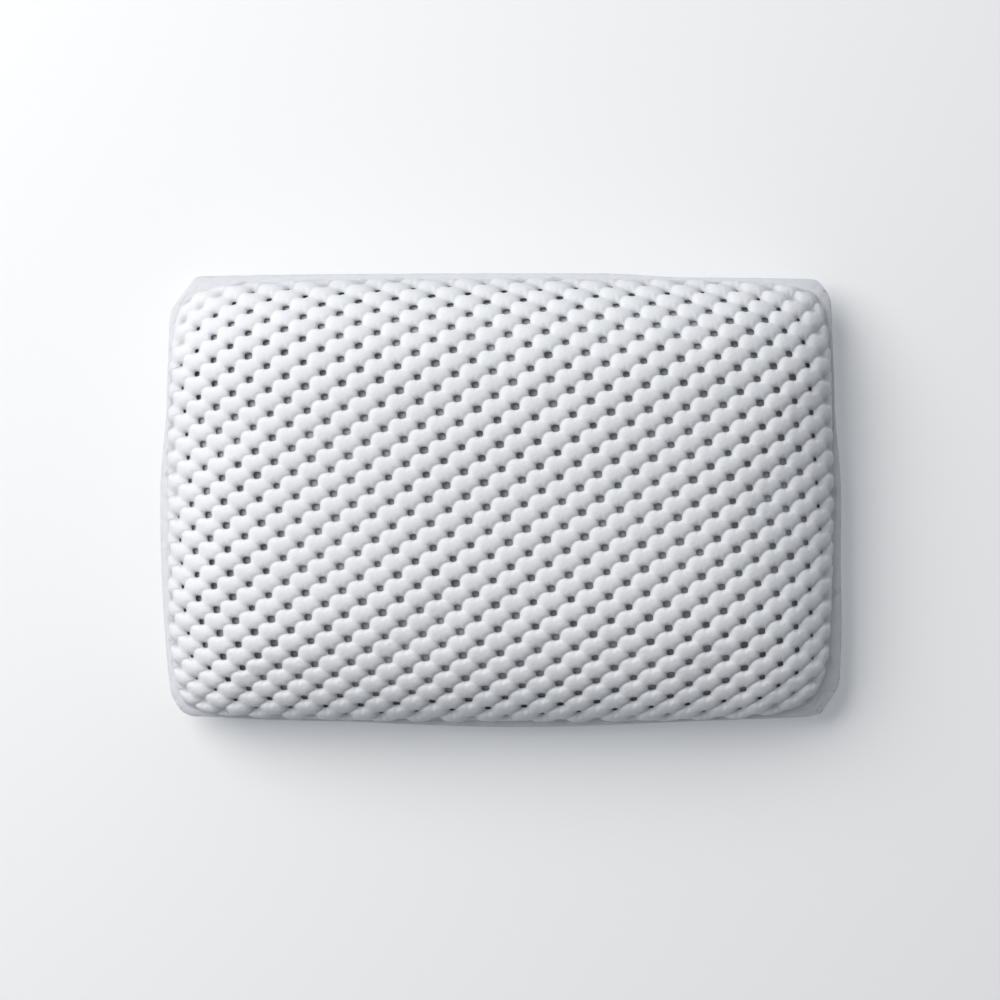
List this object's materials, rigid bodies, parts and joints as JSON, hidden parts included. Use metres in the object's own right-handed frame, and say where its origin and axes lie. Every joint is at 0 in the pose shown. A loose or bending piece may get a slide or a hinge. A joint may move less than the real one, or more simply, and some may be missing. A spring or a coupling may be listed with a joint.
{
  "type": "bath pillow",
  "caption": "Rectangular padded bath pillow with a puffed foam mesh face, a smooth welded back and swivelling suction cups that hold it to the tub wall.",
  "frame": {"origin": "middle of the pillow's plan, on the plane of the suction cups' sealing rims", "axes": "+X along the long side, +Y towards the top edge, +Z out of the padded face"},
  "size_m": [0.33, 0.22, 0.062],
  "materials": {
    "foam_mesh": "soft expanded vinyl foam, matt white",
    "back_sheet": "smooth vinyl sheet, fine grain",
    "liner": "thin grey non-woven fabric",
    "foam": "open-cell cushion foam",
    "cup": "clear soft vinyl, glossy",
    "eyelet": "white moulded plastic, satin"
  },
  "bodies": {
    "pillow": {"front_cover": "foam_mesh", "back_panel": "back_sheet", "liner_front": "liner", "liner_back": "liner", "foam_core": "foam", "eyelet_top_left": "eyelet", "eyelet_washer_top_left": "eyelet", "eyelet_top_right": "eyelet", "eyelet_washer_top_right": "eyelet", "eyelet_bottom_left": "eyelet", "eyelet_washer_bottom_left": "eyelet", "eyelet_bottom_right": "eyelet", "eyelet_washer_bottom_right": "eyelet"},
    "cup_top_left": {"suction_cup_top_left": "cup"},
    "cup_top_right": {"suction_cup_top_right": "cup"},
    "cup_bottom_left": {"suction_cup_bottom_left": "cup"},
    "cup_bottom_right": {"suction_cup_bottom_right": "cup"}
  },
  "joints": [
    {"name": "swivel_top_left", "type": "hinge", "parent": "pillow", "child": "cup_top_left", "pos_m": [-0.112, 0.062, 0.0104], "axis": [0, 0, 1], "continuous": true},
    {"name": "swivel_top_right", "type": "hinge", "parent": "pillow", "child": "cup_top_right", "pos_m": [0.112, 0.062, 0.0104], "axis": [0, 0, 1], "continuous": true},
    {"name": "swivel_bottom_left", "type": "hinge", "parent": "pillow", "child": "cup_bottom_left", "pos_m": [-0.112, -0.062, 0.0104], "axis": [0, 0, 1], "continuous": true},
    {"name": "swivel_bottom_right", "type": "hinge", "parent": "pillow", "child": "cup_bottom_right", "pos_m": [0.112, -0.062, 0.0104], "axis": [0, 0, 1], "continuous": true}
  ]
}
